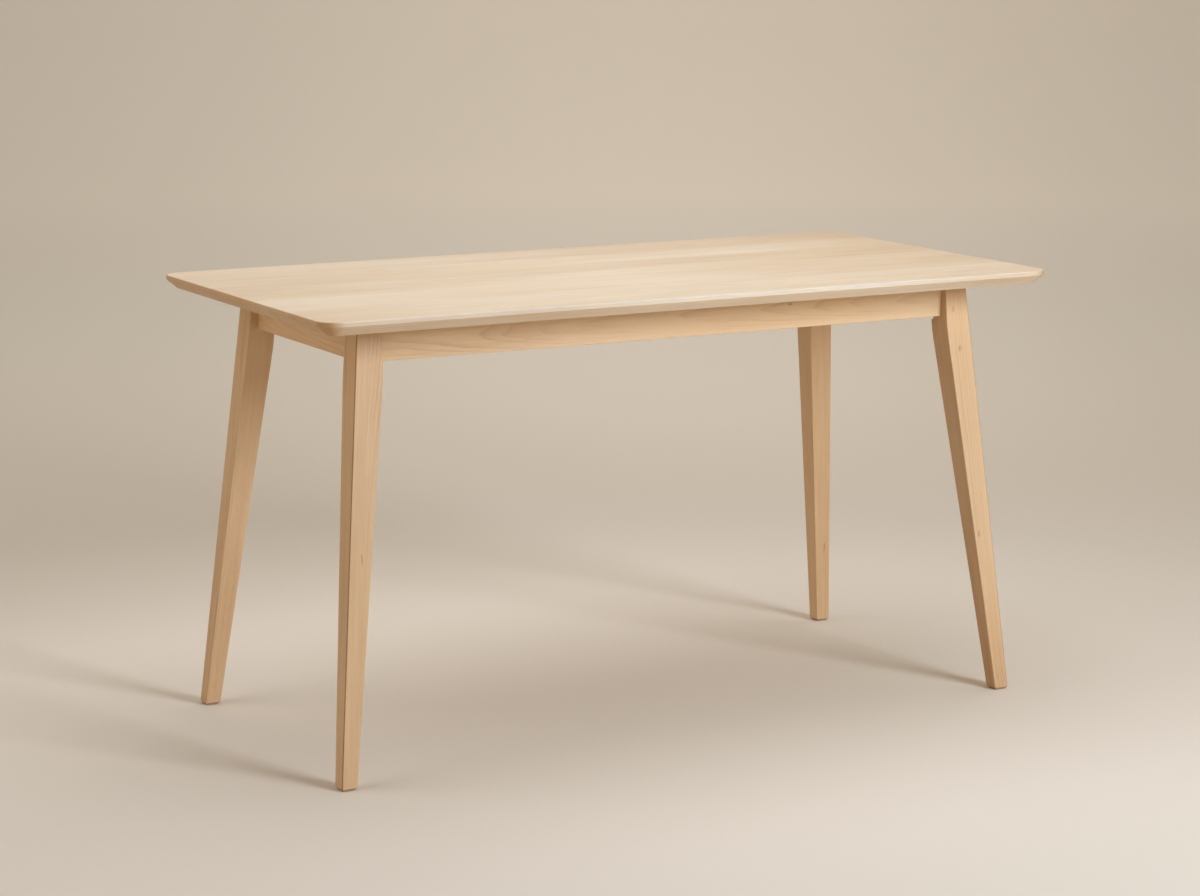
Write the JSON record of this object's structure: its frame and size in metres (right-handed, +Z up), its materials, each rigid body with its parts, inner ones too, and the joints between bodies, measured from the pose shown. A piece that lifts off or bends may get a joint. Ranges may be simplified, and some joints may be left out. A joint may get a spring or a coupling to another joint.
{
  "type": "communion table",
  "caption": "Plain rectangular wooden table with an under-bevelled top, slim aprons and splayed, tapered legs.",
  "frame": {"origin": "on the floor, under the middle of the table top", "axes": "+X along the table's length to its right end, +Y across its depth to the rear, +Z up"},
  "size_m": [1.365, 0.69, 0.75],
  "materials": {
    "top_wood": "pale oiled or matt lacquered hardwood, edge-glued staves",
    "leg_wood": "pale oiled or matt lacquered hardwood, straight grain",
    "apron_wood": "pale oiled or matt lacquered hardwood, flame figure along the length",
    "inner_wood": "planed and unfinished hardwood",
    "zinc_steel": "bright zinc plate",
    "felt": "dense grey-brown needle felt"
  },
  "bodies": {
    "root": {"top_stave_1": "top_wood", "top_stave_2": "top_wood", "top_stave_3": "top_wood", "top_stave_4": "top_wood", "top_stave_5": "top_wood", "top_stave_6": "top_wood", "leg_front_left": "leg_wood", "leg_front_right": "leg_wood", "leg_rear_left": "leg_wood", "leg_rear_right": "leg_wood", "apron_front": "apron_wood", "apron_rear": "apron_wood", "apron_left": "apron_wood", "apron_right": "apron_wood", "cross_rail": "inner_wood", "corner_block_front_left": "inner_wood", "corner_block_front_right": "inner_wood", "corner_block_rear_left": "inner_wood", "corner_block_rear_right": "inner_wood", "hanger_bolt_front_left": "zinc_steel", "hanger_bolt_front_right": "zinc_steel", "hanger_bolt_rear_left": "zinc_steel", "hanger_bolt_rear_right": "zinc_steel", "washer_front_left": "zinc_steel", "washer_front_right": "zinc_steel", "washer_rear_left": "zinc_steel", "washer_rear_right": "zinc_steel", "nut_front_left": "zinc_steel", "nut_front_right": "zinc_steel", "nut_rear_left": "zinc_steel", "nut_rear_right": "zinc_steel", "block_screw_long_front_left": "zinc_steel", "block_screw_long_front_right": "zinc_steel", "block_screw_long_rear_left": "zinc_steel", "block_screw_long_rear_right": "zinc_steel", "block_screw_end_front_left": "zinc_steel", "block_screw_end_front_right": "zinc_steel", "block_screw_end_rear_left": "zinc_steel", "block_screw_end_rear_right": "zinc_steel", "top_clip_1": "zinc_steel", "top_clip_2": "zinc_steel", "top_clip_3": "zinc_steel", "top_clip_4": "zinc_steel", "top_clip_5": "zinc_steel", "top_clip_6": "zinc_steel", "top_clip_7": "zinc_steel", "top_clip_8": "zinc_steel", "clip_screw_1": "zinc_steel", "clip_screw_2": "zinc_steel", "clip_screw_3": "zinc_steel", "clip_screw_4": "zinc_steel", "clip_screw_5": "zinc_steel", "clip_screw_6": "zinc_steel", "clip_screw_7": "zinc_steel", "clip_screw_8": "zinc_steel", "floor_pad_front_left": "felt", "floor_pad_front_right": "felt", "floor_pad_rear_left": "felt", "floor_pad_rear_right": "felt"}
  },
  "joints": []
}
